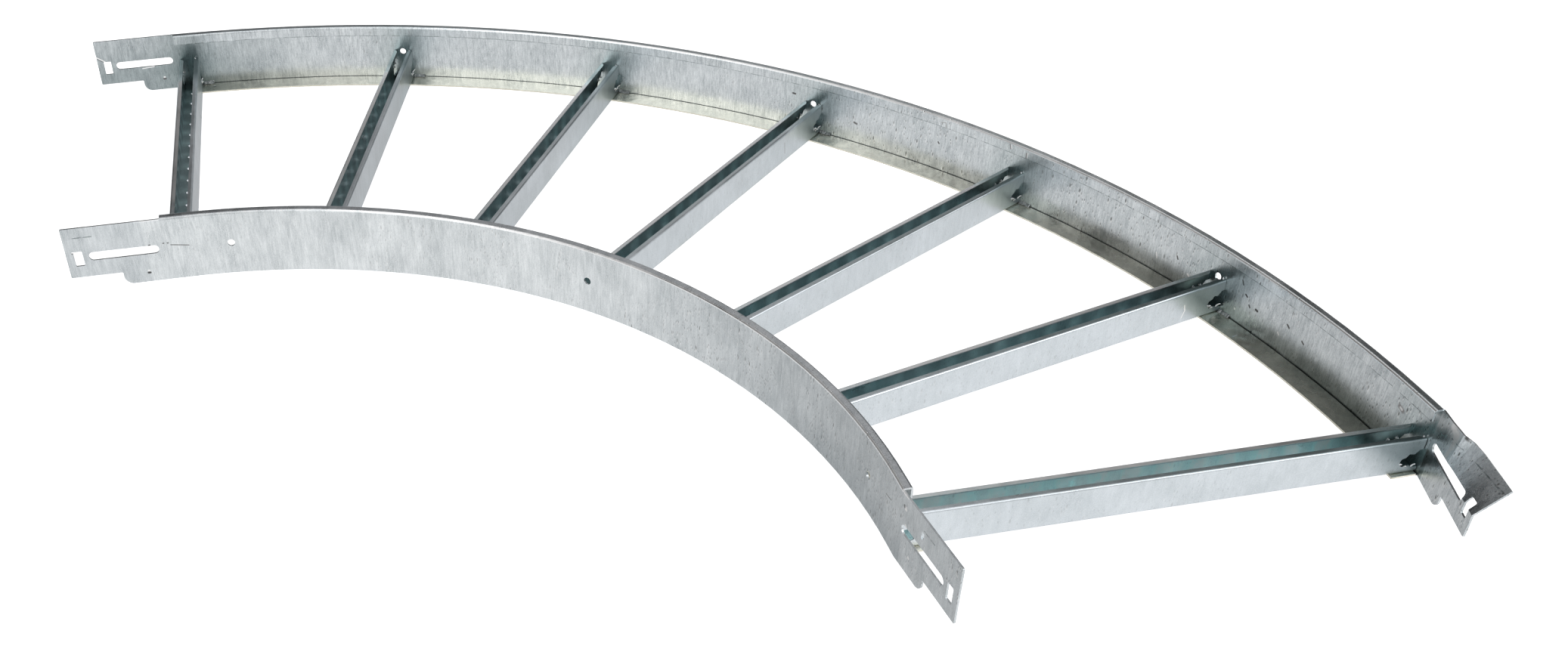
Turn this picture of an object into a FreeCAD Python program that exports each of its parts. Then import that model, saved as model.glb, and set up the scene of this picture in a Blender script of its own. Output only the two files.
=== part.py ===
import FreeCAD, Part
import math
import os

os.makedirs("parts", exist_ok=True)

# Sizes are in millimetres, angles in degrees, +Z is up.
# Two pressed side rails run round a flat bend and carry rungs between them.

# Overall form
side_height = 60.0
bend_angle = 90.0
inner_radius = 472.5
overall_width = 405.0
rail_sheet = 1.5

# Side rail section: web, narrow top flange and a lip turned down from it
top_flange = 8.0
top_lip = 10.0
rail_bend_radius = 2.0
rail_bend_facets = 3

# Flat strip that closes the foot of each rail, butted inside the web
foot_strip_width = 21.5
foot_strip_sheet = 1.5
seam_gap = 0.2

# Rungs: C section, open upwards
rung_count = 7
rung_width = 20.0
rung_height = 30.0
rung_sheet = 1.25
rung_slot = 11.0
rung_bend_radius = 1.75
rung_end_gap = 0.3
rung_skew = 0.88
rung_hole_diameter = 5.0
rung_hole_pitch = 25.0
rung_hole_margin = 20.0
rung_hole_sides = 8
lip_end_taper = 5.0

# Torn bite in both walls at each rung end: reach along the rung and its heights
bite_reach = 16.0
bite_foot = 4.5
bite_head = 20.5

# Weld beads in the corner of web and foot strip, beside each rung
bead_leg = 3.0
bead_length = 12.0
bead_start_gap = 0.1

# Round holes through the webs
web_hole_diameter = 6.5
inner_hole_angles = (5.0, 45.6, 85.0)

# Straight stretch between the last rung line and the fold of each joining tab
outer_start_straight = 8.5
inner_start_straight = 14.5
inner_end_straight = 11.5
outer_end_straight = 16.0

# Joining tabs
tab_reach = 82.0
tab_top_drop = 0.6
tab_neck_foot = 12.0
tab_lobe_length = 39.0
tab_lobe_corner = 8.0
tab_end_corner = 1.0
tab_slot_length = 58.5
tab_slot_height = 8.0
tab_slot_end_margin = 18.5
tab_slot_level = 31.0
tab_window_width = 7.5
tab_window_height = 14.0
tab_window_end_margin = 10.0
tab_window_level = 29.8
tab_window_corner = 1.0
slit_width = 0.7
slit_rise = 5.5
nick_length = 2.4
nick_height = 1.6

# Small torn opening in the inner tab of the last rung
tear_from_fold = 32.0
tear_level = 45.0
tear_width = 3.2
tear_height = 5.6

# Lean of each tab towards the ladder side of its sheet
inner_start_lean = 0.0
outer_start_lean = 1.4
inner_end_lean = 6.0
outer_end_lean = 17.5

# The strip above the slot of the outer end tab is bent away from the ladder:
# distance from the fold as a share of the tab, with the tilt there
bent_strip_tilts = ((0.0, 0.0), (0.18, 3.0), (0.36, 8.0), (0.44, 17.0), (0.57, 24.0), (0.84, 33.0), (1.0, 40.0))
bent_strip_root = 0.8
bent_strip_sag = 5.0
bent_strip_sag_reach = 38.0

# Derived sizes
outer_radius = inner_radius + overall_width
rung_middle = (inner_radius + outer_radius) / 2
rung_step = bend_angle / (rung_count - 1)
web_hole_level = side_height / 2
tab_top = side_height - tab_top_drop
cut_reach = 6 * rail_sheet

V = FreeCAD.Vector
up = V(0, 0, 1)


def radial(angle):
    a = math.radians(angle)
    return V(math.cos(a), math.sin(a), 0)


def tangent(angle):
    a = math.radians(angle)
    return V(-math.sin(a), math.cos(a), 0)


def rounded_wire(corners, place, facets=0):
    """Closed wire through (x, y, radius) corners, each point set in space by place.

    With facets given, each rounded corner becomes that many short straight edges.
    """
    count = len(corners)
    starts, ends, mids = [], [], []
    for i in range(count):
        x, y, radius = corners[i]
        px, py, _ = corners[i - 1]
        nx, ny, _ = corners[(i + 1) % count]
        back = V(px - x, py - y, 0)
        ahead = V(nx - x, ny - y, 0)
        back.normalize()
        ahead.normalize()
        here = V(x, y, 0)
        if radius <= 0:
            starts.append(here)
            ends.append(here)
            mids.append(None)
            continue
        half = back.getAngle(ahead) / 2
        run = radius / math.tan(half)
        inward = back + ahead
        inward.normalize()
        starts.append(here + back * run)
        ends.append(here + ahead * run)
        mids.append(here + inward * (radius / math.sin(half) - radius))
    edges = []
    for i in range(count):
        if mids[i] is not None:
            arc = Part.Arc(*[place(p.x, p.y) for p in (starts[i], mids[i], ends[i])]).toShape()
            if facets:
                points = arc.discretize(facets + 1)
                edges += [Part.LineSegment(a, b).toShape() for a, b in zip(points, points[1:])]
            else:
                edges.append(arc)
        here = ends[i]
        there = starts[(i + 1) % count]
        if here.distanceToPoint(there) > 1e-6:
            edges.append(Part.LineSegment(place(here.x, here.y), place(there.x, there.y)).toShape())
    return Part.Wire(edges)


def prism(corners, place, vector):
    return Part.Face(rounded_wire(corners, place)).extrude(vector)


class Rail:
    """Where one side rail stands: radius of its plain face, way to the ladder side, straight ends."""

    def __init__(self, radius, inwards, start_straight, end_straight):
        self.radius = radius
        self.inwards = inwards
        self.start_straight = start_straight
        self.end_straight = end_straight

    def at(self, angle, depth, height, along=0.0):
        flat = radial(angle) * (self.radius + self.inwards * depth)
        return flat + tangent(angle) * along + up * height


outer = Rail(outer_radius, -1, outer_start_straight, outer_end_straight)
inner = Rail(inner_radius, 1, inner_start_straight, inner_end_straight)


def rail_section():
    """Outside of the pressed bends rounded, inside left square."""
    return [
        (0, 0, 0),
        (0, side_height, rail_bend_radius),
        (top_flange, side_height, rail_bend_radius),
        (top_flange, side_height - top_lip, 0),
        (top_flange - rail_sheet, side_height - top_lip, 0),
        (top_flange - rail_sheet, side_height - rail_sheet, 0),
        (rail_sheet, side_height - rail_sheet, 0),
        (rail_sheet, 0, 0),
    ]


def sweep_round(rail, corners):
    """A section carried round the bend, with the straight stretch at both ends."""
    facets = rail_bend_facets
    start = Part.Face(rounded_wire(corners, lambda d, h: rail.at(0, d, h), facets))
    finish = Part.Face(rounded_wire(corners, lambda d, h: rail.at(bend_angle, d, h), facets))
    bend = start.revolve(V(0, 0, 0), up, bend_angle)
    lead_in = start.extrude(tangent(0) * -rail.end_straight)
    lead_out = finish.extrude(tangent(bend_angle) * rail.start_straight)
    return bend.fuse([lead_in, lead_out])


class Tab:
    """Local frame of one joining tab: along the tab, across its sheet, and up."""

    def __init__(self, rail, at_start, lean):
        angle = bend_angle if at_start else 0
        way = 1 if at_start else -1
        straight = rail.start_straight if at_start else rail.end_straight
        fold = rail.at(angle, 0, 0, way * straight)
        along = tangent(angle) * way
        across = radial(angle) * rail.inwards
        turn = math.radians(lean)
        self.along = along * math.cos(turn) + across * math.sin(turn)
        self.across = across * math.cos(turn) - along * math.sin(turn)
        self.origin = fold

    def point(self, s, n, h):
        return self.origin + self.along * s + self.across * n + up * h

    def plate(self, corners):
        return prism(corners, lambda s, h: self.point(s, 0, h), self.across * rail_sheet)

    def cutter(self, corners):
        reach = self.across * (2 * cut_reach)
        return prism(corners, lambda s, h: self.point(s, -cut_reach, h), reach)


def rectangle(left, right, low, high, corner):
    return [(left, low, corner), (right, low, corner), (right, high, corner), (left, high, corner)]


def tab_outline(top):
    lobe = tab_lobe_length
    return [
        (0, 0, 0),
        (lobe, 0, tab_lobe_corner),
        (lobe, tab_neck_foot, tab_end_corner),
        (tab_reach, tab_neck_foot, tab_end_corner),
        (tab_reach, top, tab_end_corner),
        (0, top, 0),
    ]


def tab_openings(tab):
    slot_end = tab_reach - tab_slot_end_margin
    slot_low = tab_slot_level - tab_slot_height / 2
    slot = rectangle(slot_end - tab_slot_length, slot_end, slot_low, slot_low + tab_slot_height,
                     tab_slot_height / 2)
    middle = tab_reach - tab_window_end_margin
    window = rectangle(middle - tab_window_width / 2, middle + tab_window_width / 2,
                       tab_window_level - tab_window_height / 2,
                       tab_window_level + tab_window_height / 2, tab_window_corner)
    return [tab.cutter(slot), tab.cutter(window)]


def slit(tab):
    """Narrow cut from the window's upper corner to the end of the tab."""
    start = tab_reach - tab_window_end_margin + tab_window_width / 2 - tab_window_corner
    low = tab_window_level + tab_window_height / 2 - tab_window_corner
    far = tab_reach + slit_width
    return tab.cutter([
        (start, low, 0),
        (far, low + slit_rise, 0),
        (far, low + slit_rise + slit_width, 0),
        (start, low + slit_width, 0),
    ])


def nick(tab):
    """Short cut left beside the window's upper corner."""
    start = tab_reach - tab_window_end_margin + tab_window_width / 2 - tab_window_corner
    high = tab_window_level + tab_window_height / 2
    return tab.cutter(rectangle(start, start + nick_length, high - nick_height, high, 0))


def tear(tab):
    return tab.cutter(rectangle(tear_from_fold - tear_width / 2, tear_from_fold + tear_width / 2,
                                tear_level - tear_height / 2, tear_level + tear_height / 2, 0))


def bent_upper_strip(tab):
    """Sheet above the slot line, tilted more and more towards the end of the tab."""
    sections = []
    for share, tilt in bent_strip_tilts:
        s = share * tab_reach
        a = math.radians(tilt)
        rise = V(-math.sin(a), math.cos(a), 0)
        thick = V(math.cos(a), math.sin(a), 0) * rail_sheet
        root = V(0, tab_slot_level, 0) - rise * bent_strip_root
        tip = V(0, tab_slot_level, 0) + rise * (tab_top - tab_slot_level)
        ring = [root, root + thick, tip + thick, tip]
        points = [tab.point(s, p.x, p.y) for p in ring]
        sections.append(Part.makePolygon(points + [points[0]]))
    return Part.makeLoft(sections, True, True)


def plain_tab(rail, at_start, lean, extra_cuts):
    tab = Tab(rail, at_start, lean)
    cuts = tab_openings(tab) + [make(tab) for make in extra_cuts]
    return tab.plate(tab_outline(tab_top)).cut(cuts)


def bent_tab(rail, at_start, lean):
    tab = Tab(rail, at_start, lean)
    lower = tab.plate(tab_outline(tab_slot_level))
    sag = tab.cutter([
        (0, tab_top - bent_strip_sag, 0),
        (bent_strip_sag_reach, tab_top, 0),
        (0, tab_top, 0),
    ])
    return lower.fuse(bent_upper_strip(tab)).cut(tab_openings(tab) + [sag])


def web_hole(rail, angle):
    start = rail.at(angle, -cut_reach, web_hole_level)
    way = radial(angle) * rail.inwards
    return Part.makeCylinder(web_hole_diameter / 2, 2 * cut_reach, start, way)


def side_rail(rail, hole_angles, tabs):
    body = sweep_round(rail, rail_section()).fuse(tabs)
    return body.cut([web_hole(rail, a) for a in hole_angles]).removeSplitter()


def foot_strip(rail):
    near = rail_sheet + seam_gap
    far = rail_sheet + foot_strip_width
    return sweep_round(rail, rectangle(near, far, 0, foot_strip_sheet, 0)).removeSplitter()


def rung_section():
    half = rung_width / 2
    lip = rung_slot / 2
    wall = half - rung_sheet
    roof = rung_height - rung_sheet
    bend = rung_bend_radius
    return [
        (lip, rung_height, 0), (half, rung_height, bend), (half, 0, bend),
        (-half, 0, bend), (-half, rung_height, bend), (-lip, rung_height, 0),
        (-lip, roof, 0), (-wall, roof, 0), (-wall, rung_sheet, 0),
        (wall, rung_sheet, 0), (wall, roof, 0), (lip, roof, 0),
    ]


def bite_outline():
    """Stepped edge of the torn bite: distance in from the rung end, height."""
    r = bite_reach
    low = bite_foot
    rise = bite_head - bite_foot
    return [
        (-1.0, low), (0.30 * r, low), (0.42 * r, low + 0.12 * rise), (0.62 * r, low + 0.04 * rise),
        (0.85 * r, low + 0.12 * rise), (r, low + 0.30 * rise), (0.94 * r, low + 0.55 * rise),
        (0.74 * r, low + 0.62 * rise), (0.62 * r, low + 0.80 * rise), (0.36 * r, low + 0.76 * rise),
        (0.16 * r, low + rise), (-1.0, low + rise),
    ]


def lip_end_outline():
    """Wedge cut from a lip's free edge at the rung end: distance in, place across."""
    lip = rung_slot / 2
    wall = rung_width / 2 - rung_sheet
    return [
        (-1.0, 0), (lip_end_taper, 0), (lip_end_taper, lip),
        (0.5 * lip_end_taper, lip + 0.3 * (wall - lip)), (0.0, wall), (-1.0, wall),
    ]


def many_sided_hole(foot, diameter, height):
    """Upright cutter for a small punched hole, with few sides."""
    turn = 2 * math.pi / rung_hole_sides
    spin = [(k + 0.5) * turn for k in range(rung_hole_sides)]
    ring = [foot + V(math.cos(a), math.sin(a), 0) * (diameter / 2) for a in spin]
    return Part.Face(Part.makePolygon(ring + [ring[0]])).extrude(up * height)


def rung(angle):
    base = foot_strip_sheet
    first = inner_radius + rail_sheet + rung_end_gap
    last = outer_radius - rail_sheet - rung_end_gap
    out = radial(angle)
    side = tangent(angle)

    def place(x, y):
        return out * first + side * x + up * (base + y)

    body = prism(rung_section(), place, out * (last - first))
    cuts = []
    for end, way in ((first, 1), (last, -1)):
        corners = [(x, y, 0) for x, y in bite_outline()]
        face = Part.Face(rounded_wire(
            corners, lambda x, y: out * (end + way * x) - side * rung_width + up * (base + y)))
        cuts.append(face.extrude(side * (2 * rung_width)))
        for hand in (1, -1):
            corners = [(x, y, 0) for x, y in lip_end_outline()]
            face = Part.Face(rounded_wire(
                corners, lambda x, y: out * (end + way * x) + side * (hand * y) + up * (base + bite_head)))
            cuts.append(face.extrude(up * rung_height))
    usable = last - first - 2 * rung_hole_margin
    holes = int(usable / rung_hole_pitch) + 1
    lead = (last - first - (holes - 1) * rung_hole_pitch) / 2
    for k in range(holes):
        foot = out * (first + lead + k * rung_hole_pitch) + up * (base - rung_sheet)
        cuts.append(many_sided_hole(foot, rung_hole_diameter, 3 * rung_sheet))
    whole = body.cut(cuts)
    whole.rotate(out * rung_middle, up, -rung_skew)
    return whole


def rung_end_angle(angle, radius):
    """Where a rung's middle line meets a rail: each rung stands a little off the radius."""
    aside = (radius - rung_middle) * math.tan(math.radians(rung_skew))
    return angle - math.degrees(aside / radius)


def weld_bead(rail, angle):
    """Small fillet bead along the seam, starting at the rung's clockwise wall."""
    face_radius = rail.radius + rail.inwards * rail_sheet
    beside = math.degrees((rung_width / 2 + bead_start_gap) / face_radius)
    start = rung_end_angle(angle, face_radius) - beside
    sweep = math.degrees(bead_length / face_radius)
    corners = [
        (rail_sheet, foot_strip_sheet, 0),
        (rail_sheet + bead_leg, foot_strip_sheet, 0),
        (rail_sheet, foot_strip_sheet + bead_leg, 0),
    ]
    face = Part.Face(rounded_wire(corners, lambda d, h: rail.at(start, d, h)))
    return face.revolve(V(0, 0, 0), up, -sweep)


def weld_beads(rail):
    return Part.Compound([weld_bead(rail, a) for a in rung_angles if a > 0])


rung_angles = [bend_angle - k * rung_step for k in range(rung_count)]

inner_tabs = [
    plain_tab(inner, True, inner_start_lean, [nick]),
    plain_tab(inner, False, inner_end_lean, [tear]),
]
outer_tabs = [
    plain_tab(outer, True, outer_start_lean, [slit]),
    bent_tab(outer, False, outer_end_lean),
]

# The outer web has a hole behind every second rung
outer_hole_angles = [rung_end_angle(a, outer_radius) for a in rung_angles[1::2]]

nodes = {
    "outer_rail": side_rail(outer, outer_hole_angles, outer_tabs),
    "inner_rail": side_rail(inner, inner_hole_angles, inner_tabs),
    "outer_foot_strip": foot_strip(outer),
    "inner_foot_strip": foot_strip(inner),
    "outer_weld_beads": weld_beads(outer),
    "inner_weld_beads": weld_beads(inner),
}
for k, angle in enumerate(rung_angles):
    nodes["rung_%d" % (k + 1)] = rung(angle)

# The frame's origin is under the middle of the whole part
box = Part.Compound(list(nodes.values())).optimalBoundingBox(False, False)
shift = V(-(box.XMin + box.XMax) / 2, -(box.YMin + box.YMax) / 2, -box.ZMin)

for name, shape in nodes.items():
    shape.translate(shift)
    shape.exportStep("parts/%s.step" % name)
    print(name, shape.isValid(), len(shape.Solids), "solids", round(shape.Volume), "mm3")
print("bend centre at", round(shift.x, 3), round(shift.y, 3), round(shift.z, 3))
print("size", round(box.XLength, 2), round(box.YLength, 2), round(box.ZLength, 2))
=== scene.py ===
import bmesh
import bpy
import math
import random
from mathutils import Matrix, Vector


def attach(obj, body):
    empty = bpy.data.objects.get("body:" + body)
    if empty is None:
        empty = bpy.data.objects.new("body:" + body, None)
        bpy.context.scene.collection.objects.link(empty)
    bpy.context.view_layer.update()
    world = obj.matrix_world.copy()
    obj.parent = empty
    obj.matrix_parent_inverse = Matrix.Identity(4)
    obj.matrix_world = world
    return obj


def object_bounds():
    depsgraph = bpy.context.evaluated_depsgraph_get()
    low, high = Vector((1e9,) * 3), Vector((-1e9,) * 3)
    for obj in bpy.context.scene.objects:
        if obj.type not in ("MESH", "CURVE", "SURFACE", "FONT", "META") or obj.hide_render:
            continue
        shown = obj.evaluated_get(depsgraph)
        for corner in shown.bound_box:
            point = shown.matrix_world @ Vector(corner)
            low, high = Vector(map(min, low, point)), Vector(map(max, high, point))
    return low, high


# Looks of the cable ladder bend. Lengths are in metres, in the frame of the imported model.

MM = 0.001

# Places that the construction settles: bend centre, radii, rung section
INNER_RADIUS = 472.5 * MM
OUTER_RADIUS = 877.5 * MM
MIDDLE_RADIUS = (INNER_RADIUS + OUTER_RADIUS) / 2
RUNG_STEP = math.radians(15.0)
RUNG_COUNT = 7
RUNG_WIDTH = 20.0 * MM
RUNG_HEIGHT = 30.0 * MM
RUNG_SKEW = math.radians(0.88)
RUNG_SHEET = 1.25 * MM
RUNG_BASE = 1.5 * MM
RUNG_TOP = RUNG_BASE + RUNG_HEIGHT
SIDE_HEIGHT = 60.0 * MM
SEAM_FROM_FACE = 2.05 * MM
SEAM_WIDTH = 1.3 * MM
LIP_EDGE = 50.0 * MM
LIP_REACH = 8.0 * MM
HOLE_PITCH = 25.0 * MM

# Zinc coat: cells per metre of the two sizes of pit, how far the painted highlights on their rims lie aside,
# relief
LARGE_PITS = 170.0
SMALL_PITS = 390.0
RIM_HIGHLIGHT_ASIDE = (0.5 * MM, 0.0, 0.5 * MM)
# Colour of the painted highlights on the pit rims, then of the pits
RIM_HIGHLIGHT_COLOUR = (0.98, 0.98, 0.98, 1.0)
PIT_COLOUR = (0.09, 0.10, 0.10, 1.0)
RELIEF_STRENGTH = 0.30
RELIEF_DEPTH = 0.4 * MM
SHARP_EDGE = math.radians(30)

# Weld metal and torn sheet
BEAD_GRAIN = 0.55 * MM
BEAD_UNEVENNESS = 1.4 * MM
TONGUE_THICKNESS = 0.8 * MM
CURL_STEPS = 6
# From this distance on, in millimetres from the bend centre, a tongue keeps its place beside the web
FIXED_FROM = 873.0

# Camera fitted to the photograph
CAMERA_FROM_BEND_CENTRE = Vector((131.96, -711.02, 692.38)) * MM
CAMERA_YAW = math.radians(12.826)
CAMERA_PITCH = math.radians(37.772)
CAMERA_ROLL = math.radians(-0.229)
CAMERA_LENS = 34.274
CAMERA_SHIFT = (0.09518, 0.07102)

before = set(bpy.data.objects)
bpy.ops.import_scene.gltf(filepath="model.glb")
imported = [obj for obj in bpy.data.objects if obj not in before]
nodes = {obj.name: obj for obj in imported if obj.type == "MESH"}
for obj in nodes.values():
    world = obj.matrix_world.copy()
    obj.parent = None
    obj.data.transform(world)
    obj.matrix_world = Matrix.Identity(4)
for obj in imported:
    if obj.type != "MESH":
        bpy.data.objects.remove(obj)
cad_low, cad_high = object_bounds()

# The outside of the bend touches the box's far sides, so the bend centre follows from the box
BEND_CENTRE = Vector((cad_high.x - OUTER_RADIUS, cad_high.y - OUTER_RADIUS, 0.0))


class Shader:
    """A small helper that adds nodes to one material or world tree and links them."""

    def __init__(self, tree):
        self.tree = tree
        tree.nodes.clear()

    def add(self, kind, **settings):
        node = self.tree.nodes.new(kind)
        for key, value in settings.items():
            setattr(node, key, value)
        return node

    def link(self, source, target):
        self.tree.links.new(source, target)

    def feed(self, socket, value):
        if isinstance(value, bpy.types.NodeSocket):
            self.link(value, socket)
        else:
            socket.default_value = value

    def math(self, operation, a, b=0.0, clamp=False):
        node = self.add("ShaderNodeMath", operation=operation, use_clamp=clamp)
        self.feed(node.inputs[0], a)
        self.feed(node.inputs[1], b)
        return node.outputs[0]

    def vector(self, operation, a, b=None, output="Vector"):
        node = self.add("ShaderNodeVectorMath", operation=operation)
        self.feed(node.inputs[0], a)
        if b is not None:
            self.feed(node.inputs[1], b)
        return node.outputs[output]

    def to_stroke(self, place, start, end):
        """Distance from the straight line between two points."""
        run = end - start
        offset = self.vector("SUBTRACT", place, start)
        along = self.vector("DOT_PRODUCT", offset, run, "Value")
        share = self.math("DIVIDE", along, run.length_squared, clamp=True)
        scaled = self.add("ShaderNodeVectorMath", operation="SCALE")
        scaled.inputs[0].default_value = run
        self.link(share, scaled.inputs["Scale"])
        return self.vector("LENGTH", self.vector("SUBTRACT", offset, scaled.outputs[0]), None, "Value")

    def between(self, value, low, high, soft):
        """1 where the value lies from low to high, with soft ends."""
        rise = self.range(value, low - soft, low, 0.0, 1.0)
        fall = self.range(value, high, high + soft, 1.0, 0.0)
        return self.math("MULTIPLY", rise, fall)

    def spots(self, vector, scale, inner, outer):
        """1 in small round spots, one to a cell."""
        cells = self.add("ShaderNodeTexVoronoi", feature="F1", distance="EUCLIDEAN")
        self.link(vector, cells.inputs["Vector"])
        cells.inputs["Scale"].default_value = scale
        return self.range(cells.outputs["Distance"], inner, outer, 1.0, 0.0)

    def noise(self, vector, scale, detail=3.0, roughness=0.55):
        node = self.add("ShaderNodeTexNoise")
        self.link(vector, node.inputs["Vector"])
        node.inputs["Scale"].default_value = scale
        node.inputs["Detail"].default_value = detail
        node.inputs["Roughness"].default_value = roughness
        return node.outputs["Fac"]

    def mix(self, amount, a, b, blend="MIX"):
        node = self.add("ShaderNodeMix", data_type="RGBA", blend_type=blend)
        self.feed(node.inputs[0], amount)
        self.feed(node.inputs[6], a)
        self.feed(node.inputs[7], b)
        return node.outputs[2]

    def range(self, value, low, high, to_low, to_high):
        node = self.add("ShaderNodeMapRange")
        self.link(value, node.inputs["Value"])
        for name, number in (("From Min", low), ("From Max", high), ("To Min", to_low), ("To Max", to_high)):
            node.inputs[name].default_value = number
        return node.outputs["Result"]

    def by_angle(self, where, start, end, at_start=0.0, at_end=1.0):
        """Runs from one value to another between two angles of the bend, in degrees."""
        return self.range(where.angle, math.radians(start), math.radians(end), at_start, at_end)


def joined(shader, *parts):
    """One vector from its three parts."""
    node = shader.add("ShaderNodeCombineXYZ")
    for socket, part in zip(node.inputs, parts):
        shader.feed(socket, part)
    return node.outputs[0]


class Where:
    """Place on the surface as seen from the bend centre, plain and with upright stretch."""

    def __init__(self, s):
        self.place = s.vector("SUBTRACT", s.add("ShaderNodeTexCoord").outputs["Object"], BEND_CENTRE)
        split = s.add("ShaderNodeSeparateXYZ")
        s.link(self.place, split.inputs[0])
        x, y, self.height = split.outputs
        self.angle = s.math("ARCTAN2", y, x)
        across = s.math("ADD", s.math("MULTIPLY", x, x), s.math("MULTIPLY", y, y))
        self.reach = s.math("SQRT", across)
        around = s.math("MULTIPLY", self.angle, OUTER_RADIUS)
        self.even = joined(s, around, self.reach, self.height)
        self.drawn = joined(s, around, self.reach, s.math("MULTIPLY", self.height, 0.38))
        self.upright = joined(s, around, self.reach, s.math("MULTIPLY", self.height, 0.13))


def galvanised(name, light, dark, roughness, streak, blotch, pitting, waves=0.0, masks=(), marks=()):
    """Zinc coat: pale grey with fine upright streaks, soft blotches and small drawn-out pits, each with a
    painted highlight on one side of its rim.

    Each mask is a function that returns 0..1 over the surface, with the colour it multiplies by; most of them
    paint light or shade.
    Each mark is a short stroke: start and end in millimetres, half width and grey level; the pale ones are
    painted highlights.
    """
    material = bpy.data.materials.new(name)
    material.use_nodes = True
    s = Shader(material.node_tree)
    w = Where(s)

    streaks = s.noise(w.upright, 420.0, 4.0, 0.65)
    fine = s.noise(w.upright, 1000.0, 2.0, 0.6)
    calm = s.range(w.reach, 0.60, 0.70, 0.5, 1.0)
    blotches = s.noise(w.even, 24.0, 3.0, 0.55)
    mottle = s.noise(w.drawn, 150.0, 3.0, 0.6)
    grain = s.noise(w.even, 1100.0, 2.0, 0.6)

    tone = 0.5
    for value, amount in ((streaks, 0.26 * streak), (fine, 0.24 * streak), (blotches, 0.30 * blotch),
                          (mottle, 0.16), (grain, 0.18)):
        if value in (streaks, fine):
            amount = s.math("MULTIPLY", calm, amount)
        tone = s.math("ADD", s.math("MULTIPLY", s.range(value, 0.3, 0.7, -1.0, 1.0), amount), tone)
    tone = s.math("ADD", tone, 0.0, clamp=True)
    colour = s.mix(tone, (*dark, 1.0), (*light, 1.0))

    late = s.by_angle(w, 50, 30, 0.0, 0.09)
    patch = s.range(s.math("ADD", s.noise(w.even, 11.0, 2.0), late), 0.44, 0.62, 0.0, 1.0)
    side = s.by_angle(w, 75, 25, 0.45, 1.0)
    patch = s.math("MULTIPLY", s.math("MULTIPLY", patch, side), pitting, clamp=True)
    large = s.spots(w.drawn, LARGE_PITS, 0.07, 0.17)
    small = s.spots(w.drawn, SMALL_PITS, 0.10, 0.24)
    pit = s.math("MULTIPLY", s.math("MAXIMUM", large, s.math("MULTIPLY", small, 0.75)), patch)
    # Painted highlights: a pale copy of each pit, set a little aside, lights one side of its rim
    aside = s.vector("ADD", w.drawn, RIM_HIGHLIGHT_ASIDE)
    rim_highlight = s.math("MAXIMUM", s.spots(aside, LARGE_PITS, 0.10, 0.22), s.spots(aside, SMALL_PITS, 0.12, 0.26))
    rim_highlight = s.math("MULTIPLY", s.math("MULTIPLY", rim_highlight, patch), 0.55)
    colour = s.mix(rim_highlight, colour, RIM_HIGHLIGHT_COLOUR)
    colour = s.mix(s.math("MULTIPLY", pit, 0.85), colour, PIT_COLOUR)

    for mask, tint in masks:
        colour = s.mix(mask(s, w), colour, (*tint, 1.0), blend="MULTIPLY")
    for start, end, half_width, level in marks:
        away = s.to_stroke(w.place, Vector(start) * MM, Vector(end) * MM)
        mark = s.range(away, half_width * MM * 0.6, half_width * MM * 1.3, 1.0, 0.0)
        colour = s.mix(mark, colour, (level, level, level, 1.0))

    rough = s.range(blotches, 0.3, 0.7, roughness - 0.06, roughness + 0.08)
    relief = s.math("MULTIPLY", s.noise(w.even, 75.0, 1.0, 0.4), 3.0 * waves)
    for value, amount in ((mottle, 0.5), (grain, 0.2), (streaks, 0.5 * streak), (blotches, 1.1), (pit, -0.9)):
        relief = s.math("ADD", s.math("MULTIPLY", value, amount), relief)
    bump = s.add("ShaderNodeBump")
    bump.inputs["Strength"].default_value = RELIEF_STRENGTH
    bump.inputs["Distance"].default_value = RELIEF_DEPTH
    s.link(relief, bump.inputs["Height"])

    surface = s.add("ShaderNodeBsdfPrincipled")
    surface.inputs["Metallic"].default_value = 1.0
    s.link(colour, surface.inputs["Base Color"])
    s.link(rough, surface.inputs["Roughness"])
    s.link(bump.outputs[0], surface.inputs["Normal"])
    s.link(surface.outputs[0], s.add("ShaderNodeOutputMaterial").inputs["Surface"])
    return material


def top_of_rail(s, w):
    """1 on the narrow flange along the top of each rail."""
    return s.range(w.height, SIDE_HEIGHT - 1.0 * MM, SIDE_HEIGHT - 0.2 * MM, 0.0, 1.0)


def highlight_on_rail_fold(s, w):
    """Painted highlight: 1 on the rounded fold of each rail's top that faces the camera."""
    high = s.range(w.height, SIDE_HEIGHT - 2.0 * MM, SIDE_HEIGHT - 1.2 * MM, 0.0, 1.0)
    folds = [s.between(w.reach, face - 0.6 * MM, face + 1.3 * MM, 0.3 * MM)
             for face in (OUTER_RADIUS - LIP_REACH, INNER_RADIUS)]
    return s.math("MULTIPLY", s.math("MULTIPLY", high, s.math("ADD", *folds)), s.by_angle(w, 76, 62, 0.25, 1.0))


def shade_on_start_of_top(s, w):
    """Painted shade: 1 on the first part of the flange along the top of the outer rail."""
    return s.math("MULTIPLY", top_of_rail(s, w), s.by_angle(w, 34, 66))


def light_on_start_of_inner_web(s, w):
    """Painted light: 1 on the face of the inner rail along the first half of the bend."""
    face = s.math("LESS_THAN", w.reach, INNER_RADIUS + 1.0 * MM)
    return s.math("MULTIPLY", face, s.by_angle(w, 28, 50))


def shade_on_end_of_inner_web(s, w):
    """Painted shade: rises to 1 along the last part of the face of the inner rail, low down."""
    face = s.math("LESS_THAN", w.reach, INNER_RADIUS + 1.0 * MM)
    low = s.range(w.height, 6 * MM, 34 * MM, 1.0, 0.2)
    return s.math("MULTIPLY", s.math("MULTIPLY", face, low), s.by_angle(w, 30, 8))


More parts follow.
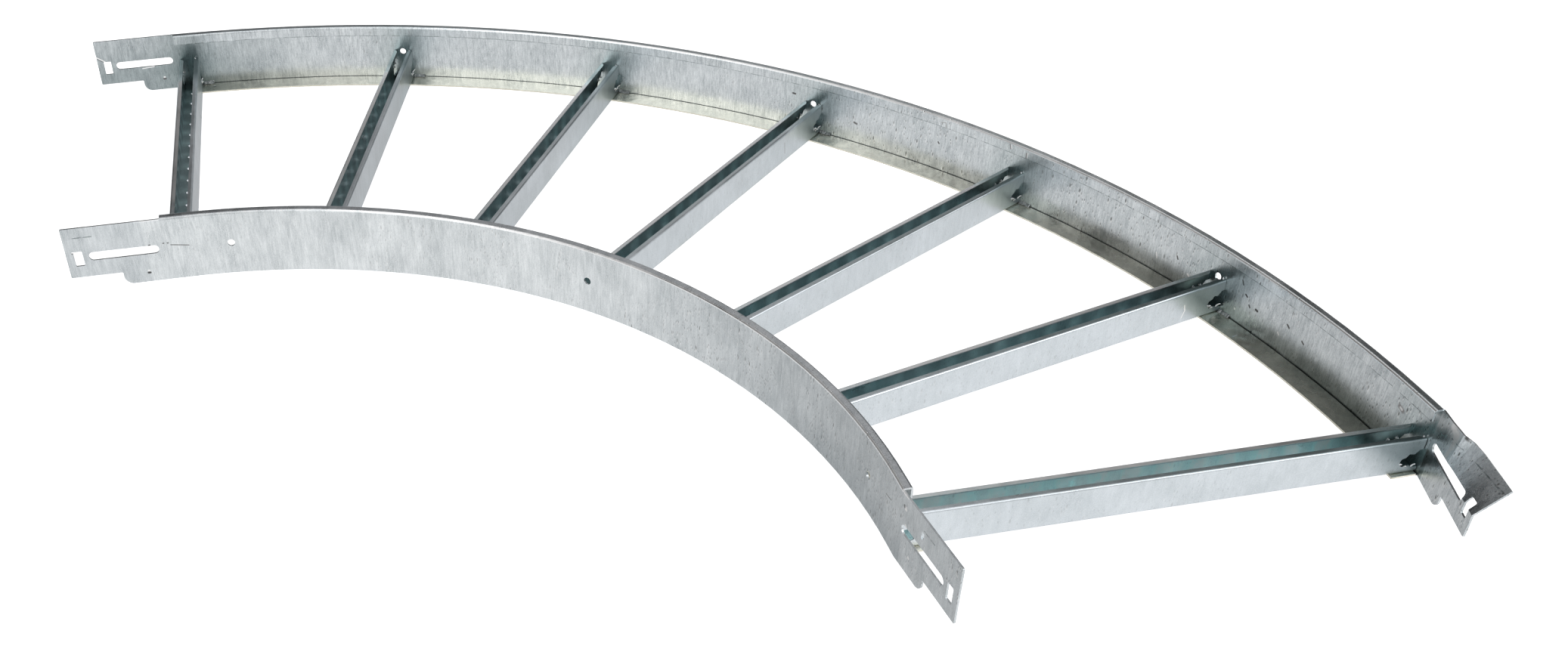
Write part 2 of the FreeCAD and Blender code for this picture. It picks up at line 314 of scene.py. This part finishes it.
def shade_on_ends_of_outer_web(s, w):
    """Painted shade: rises to 1 low on the outer web toward its first and its last rung."""
    face = s.math("GREATER_THAN", w.reach, OUTER_RADIUS - 3.0 * MM)
    first = s.math("MULTIPLY", s.by_angle(w, 81, 89), s.range(w.height, 20 * MM, 60 * MM, 1.0, 0.35))
    last = s.math("MULTIPLY", s.by_angle(w, 22, 7), s.range(w.height, 6 * MM, 27 * MM, 1.0, 0.0))
    return s.math("MULTIPLY", face, s.math("MAXIMUM", first, last))


def shadow_under_lip(s, w):
    """Painted shadow: 1 on the line along the free edge of each top lip, broken into dashes by noise."""
    line = s.between(w.height, LIP_EDGE - 0.2 * MM, LIP_EDGE + 0.5 * MM, 0.2 * MM)
    outer_lip, inner_lip = OUTER_RADIUS - LIP_REACH, INNER_RADIUS + LIP_REACH
    outer = s.between(w.reach, outer_lip - 0.6 * MM, outer_lip + 2.5 * MM, 0.1 * MM)
    inner = s.between(w.reach, inner_lip - 2.5 * MM, inner_lip + 0.6 * MM, 0.1 * MM)
    on_lip = s.math("MULTIPLY", line, s.math("ADD", outer, inner))
    return s.math("MULTIPLY", on_lip, s.range(s.noise(w.even, 190.0, 2.0), 0.36, 0.58, 0.15, 1.0))


def seam_beside_web(s, w):
    """1 on the thin line where a foot strip meets its web."""
    found = 0.0
    for place in (OUTER_RADIUS - SEAM_FROM_FACE, INNER_RADIUS + SEAM_FROM_FACE):
        away = s.math("ABSOLUTE", s.math("SUBTRACT", w.reach, place))
        found = s.math("ADD", s.math("LESS_THAN", away, SEAM_WIDTH / 2), found, clamp=True)
    return found


def off_nearest_rung(s, w):
    """Angle from the nearest rung: each rung crosses a whole step of the bend at its middle."""
    # Four whole steps more, so that no angle on the bend is negative before the remainder is taken
    turned = s.math("ADD", w.angle, RUNG_STEP / 2 + 4 * RUNG_STEP)
    return s.math("SUBTRACT", s.math("MODULO", turned, RUNG_STEP), RUNG_STEP / 2)


def across_rung(s, w):
    """Distance from the middle line of the nearest rung, counted toward the start of the bend."""
    leant = s.math("MULTIPLY", s.math("SUBTRACT", w.reach, MIDDLE_RADIUS), math.tan(RUNG_SKEW))
    return s.math("ADD", s.math("MULTIPLY", s.math("SINE", off_nearest_rung(s, w)), w.reach), leant)


def inside_of_channel(s, w):
    """1 on the inner faces of a rung's channel."""
    aside = s.math("ABSOLUTE", across_rung(s, w))
    near = s.math("LESS_THAN", aside, RUNG_WIDTH / 2 - RUNG_SHEET + 0.15 * MM)
    above = s.math("GREATER_THAN", w.height, RUNG_BASE + RUNG_SHEET - 0.1 * MM)
    below = s.math("LESS_THAN", w.height, RUNG_TOP - RUNG_SHEET + 0.05 * MM)
    return s.math("MULTIPLY", s.math("MULTIPLY", near, above), below)


def shade_deep_in_outer_end(s, w):
    """Painted shade: 1 in the lower part of the channel behind the torn bites."""
    end = s.range(w.reach, OUTER_RADIUS - 26 * MM, OUTER_RADIUS - 14 * MM, 0.0, 1.0)
    low = s.range(w.height, 18 * MM, 26 * MM, 1.0, 0.0)
    return s.math("MULTIPLY", s.math("MULTIPLY", end, low), inside_of_channel(s, w))


def shade_toward_outer_end(s, w):
    """Painted shade: rises to 1 where a rung comes to the outer web, sooner near its top."""
    slanted = s.math("ADD", w.reach, s.math("MULTIPLY", w.height, 0.9))
    return s.range(slanted, OUTER_RADIUS - 40 * MM, OUTER_RADIUS - 11 * MM, 0.0, 1.0)


def over_holes(s, w):
    """Bands of light in the channel, one over each hole in its floor."""
    wave = s.math("SINE", s.math("MULTIPLY", w.reach, 2 * math.pi / HOLE_PITCH))
    uneven = s.range(s.noise(w.even, 60.0, 2.0), 0.35, 0.65, 0.3, 1.0)
    bands = s.math("MULTIPLY", s.range(wave, -0.6, 1.0, 0.0, 1.0), uneven)
    return s.math("MULTIPLY", bands, inside_of_channel(s, w))


def light_in_last_channel(s, w):
    """Painted light: 1 inside the channel of the last rung."""
    return s.math("MULTIPLY", s.math("LESS_THAN", w.angle, RUNG_STEP / 2), inside_of_channel(s, w))


def on_lips(s, w):
    """1 on the flat lips along the top of each rung."""
    return s.math("GREATER_THAN", w.height, RUNG_TOP - 0.35 * MM)


def light_on_far_lips(s, w):
    """Painted light: 1 on the flat lip of each rung that is nearer the start of the bend, more toward the outer
    end.
    """
    side = s.math("GREATER_THAN", across_rung(s, w), 0.0)
    return s.math("MULTIPLY", s.math("MULTIPLY", on_lips(s, w), side), s.range(w.reach, 0.50, 0.78, 0.35, 1.0))


def shade_on_late_near_lips(s, w):
    """Painted shade: 1 on the other lip of the last three rungs, more toward the outer end."""
    side = s.math("LESS_THAN", across_rung(s, w), 0.0)
    late = s.by_angle(w, 42, 24)
    along = s.range(w.reach, 0.52, 0.74, 0.1, 1.0)
    return s.math("MULTIPLY", s.math("MULTIPLY", on_lips(s, w), side), s.math("MULTIPLY", late, along))


def shade_on_outer_part_of_first_rungs(s, w):
    """Painted shade: rises to 1 toward the outer end of the first rungs."""
    return s.math("MULTIPLY", s.by_angle(w, 35, 65), s.range(w.reach, 0.70, 0.84, 0.0, 1.0))


def shade_beside_rung_foot(s, w):
    """Painted shade: rises to 1 on the lower web close to where a rung stands against it."""
    aside = s.math("ABSOLUTE", s.math("MULTIPLY", off_nearest_rung(s, w), w.reach))
    near = s.range(aside, 8 * MM, 38 * MM, 1.0, 0.0)
    return s.math("MULTIPLY", near, s.range(w.height, 26 * MM, 46 * MM, 1.0, 0.5))


def smooth(obj):
    """Smooth shading, with sharp edges kept crisp."""
    mesh = obj.data
    mesh.polygons.foreach_set("use_smooth", [True] * len(mesh.polygons))
    mesh.set_sharp_from_angle(angle=SHARP_EDGE)


def dress(obj, material):
    """The one material of a piece."""
    obj.data.materials.clear()
    obj.data.materials.append(material)


# Small marks, from the bend centre in millimetres: dark spots and strokes, and pale ones at grey levels near 1,
# which are painted highlights on small bumps, creases and torn edges. Each: start and end of a stroke, half
# width, grey level
INNER_RAIL_MARKS_AND_HIGHLIGHTS = (
    ((-27.4, 472.5, 35.3), (-26.8, 472.5, 35.3), 0.8, 0.08),
    ((-32.6, 472.5, 8.8), (-31.4, 472.5, 8.8), 1.1, 0.10),
    ((-32.4, 472.5, 10.9), (-31.6, 472.5, 10.9), 0.8, 1.0),
    ((-9.3, 472.5, 33.6), (5.6, 472.5, 31.4), 0.45, 0.22),
    ((-15.6, 472.5, 35.9), (-14.9, 472.5, 35.9), 0.6, 0.22),
    ((-11.9, 472.5, 35.7), (-11.2, 472.5, 35.7), 0.6, 0.22),
    ((473.2, -19.4, 48.4), (473.4, -18.8, 48.8), 1.5, 1.0),
    ((473.1, -17.4, 48.9), (473.2, -17.0, 50.2), 0.8, 0.14),
    ((474.4, -30.4, 14.1), (474.6, -29.8, 14.5), 1.0, 1.0),
    ((472.4, 12.2, 36.8), (472.5, 2.9, 38.3), 0.35, 0.18),
    ((473.6, -24.2, 33.2), (473.4, -21.4, 36.0), 1.1, 1.0),
    ((473.2, -19.6, 33.2), (473.4, -20.6, 32.0), 0.8, 0.20),
)
OUTER_RAIL_MARKS_AND_HIGHLIGHTS = (
    ((-26.2, 875.5, 11.6), (-24.8, 875.5, 11.6), 1.2, 0.16),
    ((-25.8, 875.5, 13.4), (-25.2, 875.5, 13.4), 0.9, 1.0),
    ((-46.0, 874.9, 25.4), (-34.0, 875.3, 26.4), 0.6, 0.95),
    ((-82.6, 874.0, 37.2), (-90.6, 873.8, 42.8), 0.6, 1.0),
    ((875.9, 21.6, 35.6), (875.9, 17.4, 34.2), 1.9, 0.30),
    ((875.9, 20.6, 35.2), (875.9, 18.6, 34.6), 1.0, 0.75),
    ((872.5, -33.5, 57.5), (871.5, -38.5, 55.0), 3.2, 0.90),
    ((871.3, -39.5, 54.0), (870.0, -40.5, 46.0), 2.4, 0.86),
    ((870.0, -40.0, 45.0), (868.5, -38.0, 34.0), 1.8, 0.74),
    ((871.0, -47.5, 58.5), (870.0, -54.5, 57.0), 1.6, 0.16),
    ((869.5, -60.0, 56.0), (869.0, -63.5, 55.0), 0.9, 0.95),
    ((838.6, 252.7, 15.8), (839.2, 251.4, 14.5), 1.0, 1.0),
    ((852.7, 199.7, 12.4), (852.8, 199.5, 11.8), 0.8, 1.0),
    ((857.3, 179.7, 22.8), (857.7, 177.8, 22.5), 1.1, 0.10),
    ((852.8, 199.4, 39.9), (853.2, 197.5, 36.6), 0.7, 0.16),
    ((854.3, 192.8, 29.8), (854.8, 190.8, 28.7), 0.8, 0.12),
    ((855.7, 187.2, 22.8), (856.0, 185.9, 21.3), 0.8, 0.12),
    ((834.2, 267.1, 26.0), (834.7, 265.7, 23.8), 0.8, 0.14),
    ((827.3, 287.6, 18.8), (827.9, 286.0, 14.3), 0.6, 1.0),
    ((604.9, 633.5, 36.5), (606.8, 631.7, 36.3), 1.0, 0.12),
    ((653.9, 582.8, 22.3), (655.7, 580.7, 21.5), 1.1, 0.20),
    ((751.2, 437.8, 57.9), (752.0, 436.5, 53.8), 0.6, 0.30),
    ((760.5, 421.3, 55.7), (760.5, 421.2, 51.1), 0.7, 0.35),
    ((752.0, 436.6, 58.4), (752.6, 435.5, 54.2), 0.4, 1.0),
    ((761.1, 420.2, 56.2), (761.1, 420.2, 51.6), 0.4, 1.0),
    ((712.8, 509.0, 29.9), (713.4, 508.2, 28.6), 0.8, 0.15),
    ((709.8, 501.9, 54.3), (712.7, 497.9, 55.5), 0.4, 0.45),
    ((712.7, 497.9, 55.5), (713.5, 496.7, 50.9), 0.4, 0.40),
    ((863.6, 146.2, 28.7), (864.0, 143.9, 27.2), 0.9, 0.12),
    ((862.5, 153.1, 17.1), (862.8, 151.7, 15.7), 0.8, 0.90),
    ((866.5, 128.2, 24.0), (866.8, 126.0, 22.6), 0.8, 0.14),
)
STRIP_MARKS_AND_HIGHLIGHTS = (
    ((24.6, 865.2, 1.5), (25.6, 865.2, 1.5), 1.0, 0.12),
    ((24.8, 867.0, 1.5), (25.4, 867.0, 1.5), 0.8, 1.0),
    ((840.2, 175.9, 1.5), (844.4, 177.2, 1.5), 0.6, 1.0),
)
RUNG_MARKS_AND_HIGHLIGHTS = (
    ((807.3, 203.5, 19.7), (809.0, 203.9, 14.0), 0.5, 1.0),
    ((809.0, 203.9, 14.0), (806.9, 203.4, 7.2), 0.5, 0.95),
    ((572.3, 555.5, 22.6), (573.4, 556.6, 10.5), 0.4, 0.30),
)

RAIL_LOOK = ((0.86, 0.90, 0.92), (0.46, 0.50, 0.52), 0.29, 1.0, 0.7, 1.0, 0.5)
# Inner rail: slight painted shade on the top flange, a painted highlight on the fold, painted light on the
# start of the web, painted shade low on its end and a painted shadow line under the lip
inner_rail_zinc = galvanised("inner_rail_zinc", *RAIL_LOOK,
                             masks=[(top_of_rail, (0.98, 0.96, 0.97)), (highlight_on_rail_fold, (2.0, 2.0, 2.0)),
                                    (light_on_start_of_inner_web, (1.13, 1.12, 1.11)),
                                    (shade_on_end_of_inner_web, (0.78, 0.80, 0.81)), (shadow_under_lip, (0.45, 0.48, 0.48))],
                             marks=INNER_RAIL_MARKS_AND_HIGHLIGHTS)
# Outer rail: painted light on the top flange but painted shade on its first part, a painted highlight on the
# fold, painted shade low on the web ends and beside the rung feet, and a painted shadow line under the lip
outer_rail_zinc = galvanised("outer_rail_zinc", *RAIL_LOOK,
                             masks=[(top_of_rail, (1.06, 1.06, 1.06)), (shade_on_start_of_top, (0.68, 0.70, 0.71)),
                                    (highlight_on_rail_fold, (2.0, 2.0, 2.0)),
                                    (shade_on_ends_of_outer_web, (0.52, 0.56, 0.56)), (shadow_under_lip, (0.45, 0.48, 0.48)),
                                    (shade_beside_rung_foot, (0.78, 0.82, 0.81))],
                             marks=OUTER_RAIL_MARKS_AND_HIGHLIGHTS)
strip_zinc = galvanised("strip_zinc", (0.97, 0.94, 0.82), (0.58, 0.57, 0.49), 0.24, 0.2, 0.7, 0.35, 2.6,
                        masks=[(seam_beside_web, (0.10, 0.11, 0.11))], marks=STRIP_MARKS_AND_HIGHLIGHTS)
# Rungs: painted shade inside the channels, deeper behind the torn bites, on the near lips of the last rungs, on
# the outer part of the first rungs and toward the outer ends; painted light in bands over the holes, in the
# last channel and on the far lips
rung_zinc = galvanised("rung_zinc", (0.80, 0.85, 0.89), (0.58, 0.63, 0.66), 0.33, 0.3, 0.8, 0.25, 0.8,
                       masks=[(inside_of_channel, (0.72, 0.81, 0.80)), (over_holes, (1.55, 1.55, 1.52)),
                              (light_in_last_channel, (1.52, 1.56, 1.54)), (shade_deep_in_outer_end, (0.30, 0.33, 0.33)),
                              (light_on_far_lips, (1.90, 1.87, 1.80)), (shade_on_late_near_lips, (0.55, 0.60, 0.59)),
                              (shade_on_outer_part_of_first_rungs, (0.82, 0.86, 0.86)),
                              (shade_toward_outer_end, (0.47, 0.51, 0.51))], marks=RUNG_MARKS_AND_HIGHLIGHTS)
bead_zinc = galvanised("bead_zinc", (0.44, 0.47, 0.47), (0.12, 0.13, 0.13), 0.40, 0.2, 1.0, 1.0)
torn_zinc = galvanised("torn_zinc", (0.92, 0.94, 0.95), (0.50, 0.53, 0.54), 0.28, 0.2, 0.8, 0.4)

FINISH = {"inner_rail": inner_rail_zinc, "outer_rail": outer_rail_zinc,
          "inner_foot_strip": strip_zinc, "outer_foot_strip": strip_zinc,
          "inner_weld_beads": bead_zinc, "outer_weld_beads": bead_zinc}
for name, node in nodes.items():
    smooth(node)
    dress(node, FINISH.get(name, rung_zinc))


def roughen(obj, name, grain, depth):
    """Melted look for weld metal: an even skin pushed in and out by a clouded pattern."""
    skin = obj.modifiers.new("skin", "REMESH")
    skin.mode = "VOXEL"
    skin.voxel_size = grain
    clouds = bpy.data.textures.new(name, "CLOUDS")
    clouds.noise_scale = 5 * grain
    push = obj.modifiers.new("push", "DISPLACE")
    push.texture = clouds
    push.texture_coords = "LOCAL"
    push.strength = depth
    push.mid_level = 0.5


for name in ("outer_weld_beads", "inner_weld_beads"):
    roughen(nodes[name], name + "_clouds", BEAD_GRAIN, BEAD_UNEVENNESS)


class RungFrame:
    """Places on one rung: distance from the bend centre along it, aside and up, in millimetres."""

    def __init__(self, number):
        square = math.radians(90) - number * RUNG_STEP
        turned = square - RUNG_SKEW
        self.middle = Vector((math.cos(square), math.sin(square), 0.0)) * MIDDLE_RADIUS
        self.out = Vector((math.cos(turned), math.sin(turned), 0.0))
        self.side = Vector((-math.sin(turned), math.cos(turned), 0.0))

    def point(self, r, aside, up):
        flat = self.middle + self.out * (r * MM - MIDDLE_RADIUS) + self.side * (aside * MM)
        return BEND_CENTRE + flat + Vector((0.0, 0.0, up * MM))

    def way(self, r, aside, up):
        return (self.out * r + self.side * aside + Vector((0.0, 0.0, up))).normalized()


def curl(bm, root, along, lift, width_way, length, width, turn):
    """A narrow tongue of torn sheet that starts along the wall and curls out of it."""
    previous, here = None, root.copy()
    for k in range(CURL_STEPS + 1):
        share = k / CURL_STEPS
        taper = 1.0 - 0.85 * share ** 1.5
        half = width_way * (width * MM / 2 * taper)
        pair = (bm.verts.new(here - half), bm.verts.new(here + half))
        if previous:
            bm.faces.new((previous[0], previous[1], pair[1], pair[0]))
        previous = pair
        bend = turn * share
        here = here + (along * math.cos(bend) + lift * math.sin(bend)) * (length * MM / CURL_STEPS)


# Tongues of torn metal at the bites in both walls of a rung: place on the rung, start direction,
# curl direction, width direction, length, width and turn
TONGUES = (
    ((866.5, -9.4, 6.4), (-0.3, 0.0, 1.0), (0.0, -1.0, 0.0), (1.0, 0.0, 0.3), 4.2, 3.6, 1.7),
    ((860.6, -9.4, 9.5), (1.0, 0.0, 0.35), (0.0, -1.0, 0.2), (-0.3, 0.0, 1.0), 3.6, 3.2, 1.4),
    ((871.6, -9.4, 6.2), (0.35, 0.0, 1.0), (0.0, -1.0, 0.0), (1.0, 0.0, -0.3), 5.0, 2.6, 1.2),
    ((868.5, -9.4, 21.6), (0.2, 0.0, -1.0), (0.0, 1.0, 0.0), (1.0, 0.0, 0.2), 3.2, 3.4, 1.3),
    ((874.2, -8.6, 30.6), (0.2, 0.9, 0.2), (0.0, 0.0, 1.0), (1.0, 0.0, 0.0), 3.0, 2.2, 1.6),
    ((858.6, 9.0, 19.5), (0.8, 0.0, -0.5), (0.0, -1.0, 0.2), (0.5, 0.0, 0.8), 4.0, 3.4, 1.5),
    ((866.0, 9.2, 21.8), (0.5, 0.0, -0.8), (0.0, -1.0, 0.3), (0.8, 0.0, 0.5), 4.4, 3.6, 1.7),
)


def torn_tongues():
    """One piece that holds the torn tongues of all rungs, each a little different."""
    shift = random.Random(7)
    bm = bmesh.new()
    for number in range(RUNG_COUNT):
        rung = RungFrame(number)
        for place, along, lift, across, length, width, turn in TONGUES:
            spread = shift.uniform(0.8, 1.25)
            r = place[0] + shift.uniform(-1.0, 1.0) * (place[0] < FIXED_FROM)
            root = rung.point(r, place[1], place[2])
            curl(bm, root, rung.way(*along), rung.way(*lift), rung.way(*across),
                 length * spread, width * spread, turn * shift.uniform(0.8, 1.2))
    mesh = bpy.data.meshes.new("torn_tongues")
    bm.to_mesh(mesh)
    bm.free()
    piece = bpy.data.objects.new("torn_tongues", mesh)
    bpy.context.scene.collection.objects.link(piece)
    thick = piece.modifiers.new("thickness", "SOLIDIFY")
    thick.thickness = TONGUE_THICKNESS
    thick.offset = 0.0
    smooth(piece)
    dress(piece, torn_zinc)
    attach(piece, "root")


torn_tongues()


def aim_camera():
    """The camera of the photograph, fitted to the rails and rungs."""
    data = bpy.data.cameras.new("photo_camera")
    camera = bpy.data.objects.new("photo_camera", data)
    bpy.context.scene.collection.objects.link(camera)
    ahead = Vector((math.sin(CAMERA_YAW) * math.cos(CAMERA_PITCH),
                    math.cos(CAMERA_YAW) * math.cos(CAMERA_PITCH), -math.sin(CAMERA_PITCH)))
    right = Vector((math.cos(CAMERA_YAW), -math.sin(CAMERA_YAW), 0.0))
    above = right.cross(ahead)
    c, s = math.cos(CAMERA_ROLL), math.sin(CAMERA_ROLL)
    side, top = right * c + above * s, above * c - right * s
    turn = Matrix((side, top, -ahead)).transposed().to_4x4()
    camera.matrix_world = Matrix.Translation(BEND_CENTRE + CAMERA_FROM_BEND_CENTRE) @ turn
    data.sensor_fit = "HORIZONTAL"
    data.sensor_width = 36.0
    data.lens = CAMERA_LENS
    data.shift_x, data.shift_y = CAMERA_SHIFT
    data.clip_start, data.clip_end = 0.05, 50.0
    bpy.context.scene.camera = camera


def pale_floor():
    """A white floor that only the camera sees, so the metal reflects the surroundings set below."""
    size = 12.0
    mesh = bpy.data.meshes.new("floor")
    corners = [(-size, -size, 0), (size, -size, 0), (size, size, 0), (-size, size, 0)]
    mesh.from_pydata(corners, [], [(0, 1, 2, 3)])
    floor = bpy.data.objects.new("floor", mesh)
    floor.location.z = -0.2 * MM
    bpy.context.scene.collection.objects.link(floor)
    material = bpy.data.materials.new("floor_white")
    material.use_nodes = True
    s = Shader(material.node_tree)
    matt = s.add("ShaderNodeBsdfDiffuse")
    matt.inputs["Color"].default_value = (0.80, 0.80, 0.80, 1.0)
    glow = s.add("ShaderNodeEmission")
    glow.inputs["Strength"].default_value = 0.70
    pale = s.add("ShaderNodeAddShader")
    s.link(matt.outputs[0], pale.inputs[0])
    s.link(glow.outputs[0], pale.inputs[1])
    clear = s.add("ShaderNodeBsdfTransparent")
    choice = s.add("ShaderNodeMixShader")
    s.link(s.add("ShaderNodeLightPath").outputs["Is Camera Ray"], choice.inputs[0])
    s.link(clear.outputs[0], choice.inputs[1])
    s.link(pale.outputs[0], choice.inputs[2])
    s.link(choice.outputs[0], s.add("ShaderNodeOutputMaterial").inputs["Surface"])
    mesh.materials.append(material)


def soft_box(name, place, aim, size, power):
    """A rectangular area light that faces a point."""
    data = bpy.data.lights.new(name, "AREA")
    data.shape = "RECTANGLE"
    data.size, data.size_y = size
    data.energy = power
    light = bpy.data.objects.new(name, data)
    light.location = place
    light.rotation_mode = "QUATERNION"
    light.rotation_quaternion = (Vector(aim) - Vector(place)).to_track_quat("-Z", "Y")
    bpy.context.scene.collection.objects.link(light)


def toward(azimuth, elevation):
    """The direction that lies at these angles, in degrees."""
    a, e = math.radians(azimuth), math.radians(elevation)
    return (math.cos(a) * math.cos(e), math.sin(a) * math.cos(e), math.sin(e))


def glow_patch(s, direction, azimuth, elevation, inner, outer):
    """1 inside a soft round patch of the surroundings, 0 outside it; sizes in degrees."""
    dot = s.vector("DOT_PRODUCT", direction, toward(azimuth, elevation), "Value")
    fade = s.add("ShaderNodeMapRange", interpolation_type="SMOOTHSTEP")
    s.link(dot, fade.inputs["Value"])
    fade.inputs["From Min"].default_value = math.cos(math.radians(outer))
    fade.inputs["From Max"].default_value = math.cos(math.radians(inner))
    return fade.outputs["Result"]


# Surroundings that the metal reflects: azimuth, elevation, full and fading size, what each adds
SURROUNDINGS = (
    (222.0, 28.0, 12.0, 38.0, 1.35),
    (134.0, 33.0, 22.0, 44.0, -0.42),
    (36.0, 33.0, 14.0, 27.0, -0.38),
    (67.0, 43.0, 2.0, 7.0, 0.45),
    (325.0, 37.0, 14.0, 32.0, 1.80),
    (0.0, 90.0, 20.0, 50.0, 0.14),
    (141.0, 20.0, 10.0, 26.0, 0.26),
    (92.0, -34.0, 20.0, 75.0, -0.30),
    (300.0, -36.0, 15.0, 45.0, 0.12),
)
SURROUNDINGS_ABOVE = 0.42
SURROUNDINGS_BELOW = 0.84


def studio():
    """Even surroundings with soft patches, and one soft box above."""
    world = bpy.data.worlds.new("studio")
    bpy.context.scene.world = world
    world.use_nodes = True
    s = Shader(world.node_tree)
    direction = s.add("ShaderNodeTexCoord").outputs["Generated"]
    split = s.add("ShaderNodeSeparateXYZ")
    s.link(direction, split.inputs[0])
    level = s.range(split.outputs[2], -0.22, 0.12, SURROUNDINGS_BELOW, SURROUNDINGS_ABOVE)
    for azimuth, elevation, inner, outer, gain in SURROUNDINGS:
        patch = s.math("MULTIPLY", glow_patch(s, direction, azimuth, elevation, inner, outer), gain)
        level = s.math("ADD", level, patch)
    seen = s.add("ShaderNodeLightPath").outputs["Is Camera Ray"]
    level = s.math("MAXIMUM", s.math("MAXIMUM", level, 0.02), seen)
    background = s.add("ShaderNodeBackground")
    background.inputs["Color"].default_value = (1.0, 1.0, 1.0, 1.0)
    s.link(level, background.inputs["Strength"])
    s.link(background.outputs[0], s.add("ShaderNodeOutputWorld").inputs["Surface"])
    soft_box("overhead", place=(0.0, 0.3, 2.4), aim=(0.0, 0.1, 0.0), size=(2.2, 1.4), power=7.0)
    bpy.context.scene.view_settings.view_transform = "Standard"


aim_camera()
pale_floor()
studio()
